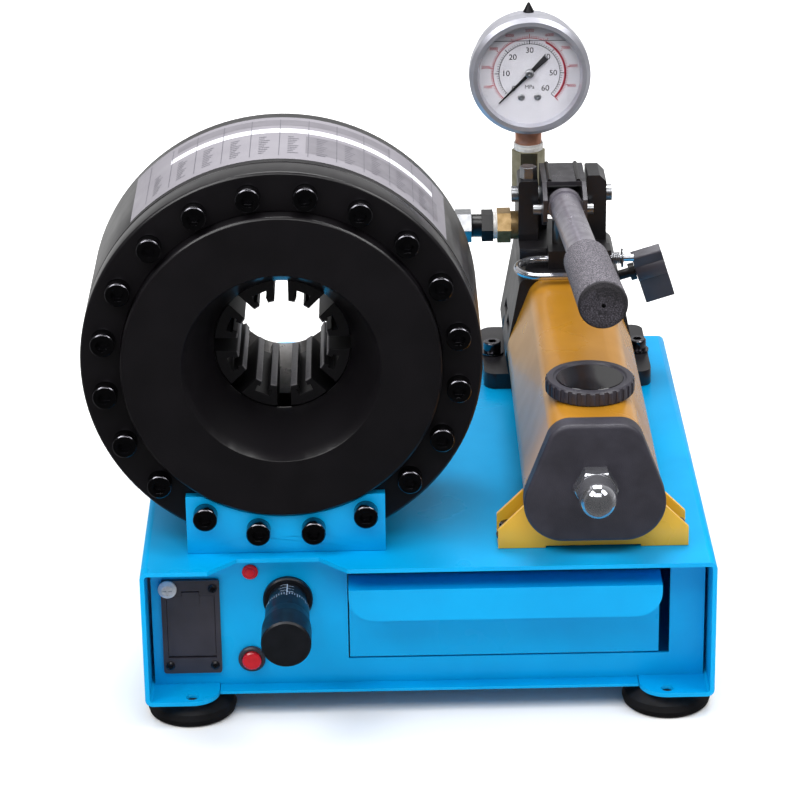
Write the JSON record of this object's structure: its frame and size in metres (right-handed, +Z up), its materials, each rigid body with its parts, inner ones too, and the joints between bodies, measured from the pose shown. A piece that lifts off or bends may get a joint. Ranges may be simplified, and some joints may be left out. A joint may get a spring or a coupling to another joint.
{
  "type": "hose crimping machine",
  "caption": "Bench-top hydraulic hose crimping machine: ring head with sliding jaws, hand pump with yellow tank and lever, pressure gauge, blue folded frame with drawer and micrometer dial.",
  "frame": {"origin": "centre of the rectangle of four bench holes, on the underside of the frame lips", "axes": "+X to the operator's right, +Y to the back of the machine, +Z up; the head axis runs along Y"},
  "size_m": [0.4161, 0.445, 0.3895],
  "materials": {
    "blue_gloss": "gloss",
    "black_gloss": "gloss",
    "yellow_gloss": "gloss",
    "oiled_steel": "satin",
    "zinc_steel": "satin",
    "chrome": "mirror",
    "stainless": "polished",
    "brass": "satin",
    "black_rubber": "matte",
    "black_plastic": "matte",
    "red_plastic": "gloss",
    "dial_white": "gloss",
    "seal_rubber": "matte",
    "glass": "clear"
  },
  "bodies": {
    "bench_body": {"base_frame": "blue_gloss", "front_panel": "blue_gloss", "rubber_feet": "black_rubber", "head_saddle_front": "blue_gloss", "head_saddle_rear": "blue_gloss", "cylinder_body": "black_gloss", "front_ring": "black_gloss", "front_cone": "black_gloss", "ring_bolts": "oiled_steel", "saddle_bolts": "oiled_steel", "rear_gland": "black_gloss", "oil_tank": "yellow_gloss", "tank_end_cap": "black_gloss", "tie_rod": "chrome", "tank_bracket": "yellow_gloss", "pump_bolts": "zinc_steel", "pump_body": "black_gloss", "pivot_pin": "zinc_steel", "relief_plug": "zinc_steel", "hook_spring": "zinc_steel", "hydraulic_pipe": "zinc_steel", "pipe_nuts": "zinc_steel", "line_nipple": "black_gloss", "outlet_adapter": "brass", "gauge_adapter": "zinc_steel", "gauge_case": "stainless", "gauge_bezel": "stainless", "gauge_glass": "glass", "gauge_dial": "dial_white", "drawer_runners": "blue_gloss", "battery_box": "black_plastic", "battery_box_screws": "zinc_steel", "indicator_lamp": "red_plastic", "button_body": "black_plastic", "micrometer_sleeve": "black_gloss"},
    "ram": {"piston": "oiled_steel", "piston_seal": "seal_rubber"},
    "lever": {"lever_socket": "black_gloss", "lever_tube": "black_gloss", "lever_grip": "black_rubber", "link_pin": "zinc_steel"},
    "pump_plunger": {"plunger": "oiled_steel"},
    "lever_hook": {"lock_hook": "chrome"},
    "release_valve": {"release_stem": "black_gloss", "release_knob": "black_plastic"},
    "filler": {"filler_cap": "black_plastic"},
    "drawer_tray": {"drawer": "blue_gloss"},
    "thimble": {"micrometer_thimble": "black_gloss"},
    "spindle": {"micrometer_spindle": "oiled_steel"},
    "button": {"button_cap": "red_plastic"},
    "battery_lid": {"battery_door": "black_plastic"},
    "needle": {"gauge_needle": "black_gloss"},
    "crimp_jaw_1": {"jaw_1": "oiled_steel"},
    "crimp_jaw_2": {"jaw_2": "oiled_steel"},
    "crimp_jaw_3": {"jaw_3": "oiled_steel"},
    "crimp_jaw_4": {"jaw_4": "oiled_steel"},
    "crimp_jaw_5": {"jaw_5": "oiled_steel"},
    "crimp_jaw_6": {"jaw_6": "oiled_steel"},
    "crimp_jaw_7": {"jaw_7": "oiled_steel"},
    "crimp_jaw_8": {"jaw_8": "oiled_steel"}
  },
  "joints": [
    {"name": "ram_stroke", "type": "slide", "parent": "bench_body", "child": "ram", "axis": [0, -1, 0], "range_m": [0, 0.03118]},
    {"name": "jaw_1_slide", "type": "slide", "parent": "bench_body", "child": "crimp_jaw_1", "axis": [-0.1913, -0.866, -0.4619], "range_m": [0, 0.0181]},
    {"name": "jaw_2_slide", "type": "slide", "parent": "bench_body", "child": "crimp_jaw_2", "axis": [-0.4619, -0.866, -0.1913], "range_m": [0, 0.0181]},
    {"name": "jaw_3_slide", "type": "slide", "parent": "bench_body", "child": "crimp_jaw_3", "axis": [-0.4619, -0.866, 0.1913], "range_m": [0, 0.0181]},
    {"name": "jaw_4_slide", "type": "slide", "parent": "bench_body", "child": "crimp_jaw_4", "axis": [-0.1913, -0.866, 0.4619], "range_m": [0, 0.0181]},
    {"name": "jaw_5_slide", "type": "slide", "parent": "bench_body", "child": "crimp_jaw_5", "axis": [0.1913, -0.866, 0.4619], "range_m": [0, 0.0181]},
    {"name": "jaw_6_slide", "type": "slide", "parent": "bench_body", "child": "crimp_jaw_6", "axis": [0.4619, -0.866, 0.1913], "range_m": [0, 0.0181]},
    {"name": "jaw_7_slide", "type": "slide", "parent": "bench_body", "child": "crimp_jaw_7", "axis": [0.4619, -0.866, -0.1913], "range_m": [0, 0.0181]},
    {"name": "jaw_8_slide", "type": "slide", "parent": "bench_body", "child": "crimp_jaw_8", "axis": [0.1913, -0.866, -0.4619], "range_m": [0, 0.0181]},
    {"name": "lever_pivot", "type": "hinge", "parent": "bench_body", "child": "lever", "pos_m": [0.11, 0.148, 0.2353], "axis": [-1, 0, 0], "range_deg": [0, 50]},
    {"name": "plunger_slide", "type": "slide", "parent": "bench_body", "child": "pump_plunger", "axis": [0, 0, 1], "range_m": [0, 0.01885]},
    {"name": "hook_swing", "type": "hinge", "parent": "bench_body", "child": "lever_hook", "pos_m": [0.11, 0.11, 0.1975], "axis": [-1, 0, 0], "range_deg": [0, 35]},
    {"name": "valve_turn", "type": "hinge", "parent": "bench_body", "child": "release_valve", "pos_m": [0.148, 0.128, 0.1768], "axis": [0.9563, 0, 0.2924], "range_deg": [-90, 90]},
    {"name": "filler_turn", "type": "hinge", "parent": "bench_body", "child": "filler", "pos_m": [0.11, -0.1272, 0.192], "axis": [0, 0, 1], "continuous": true},
    {"name": "drawer_slide", "type": "slide", "parent": "bench_body", "child": "drawer_tray", "axis": [0, -1, 0], "range_m": [0, 0.18]},
    {"name": "thimble_turn", "type": "hinge", "parent": "bench_body", "child": "thimble", "pos_m": [-0.0937, -0.202, 0.0654], "axis": [0, 1, 0], "range_deg": [-1440, 1440]},
    {"name": "spindle_slide", "type": "slide", "parent": "bench_body", "child": "spindle", "axis": [0, 1, 0], "range_m": [-0.0021, 0.0021]},
    {"name": "button_press", "type": "slide", "parent": "bench_body", "child": "button", "axis": [0, 1, 0], "range_m": [0, 0.0025], "stiffness_N_per_m": 200},
    {"name": "battery_door_hinge", "type": "hinge", "parent": "bench_body", "child": "battery_lid", "pos_m": [-0.1587, -0.1762, 0.02555], "axis": [1, 0, 0], "range_deg": [0, 100]},
    {"name": "needle_turn", "type": "hinge", "parent": "bench_body", "child": "needle", "pos_m": [0.0844, 0.166, 0.3222], "axis": [0, 1, 0], "range_deg": [0, 270]}
  ],
  "couplings": [
    {"joint": "jaw_1_slide", "follows": "ram_stroke", "ratio": 0.57735},
    {"joint": "jaw_2_slide", "follows": "ram_stroke", "ratio": 0.57735},
    {"joint": "jaw_3_slide", "follows": "ram_stroke", "ratio": 0.57735},
    {"joint": "jaw_4_slide", "follows": "ram_stroke", "ratio": 0.57735},
    {"joint": "jaw_5_slide", "follows": "ram_stroke", "ratio": 0.57735},
    {"joint": "jaw_6_slide", "follows": "ram_stroke", "ratio": 0.57735},
    {"joint": "jaw_7_slide", "follows": "ram_stroke", "ratio": 0.57735},
    {"joint": "jaw_8_slide", "follows": "ram_stroke", "ratio": 0.57735},
    {"joint": "plunger_slide", "follows": "lever_pivot", "m_per_rad": 0.02126},
    {"joint": "spindle_slide", "follows": "thimble_turn", "m_per_rad": 0.000079577}
  ]
}
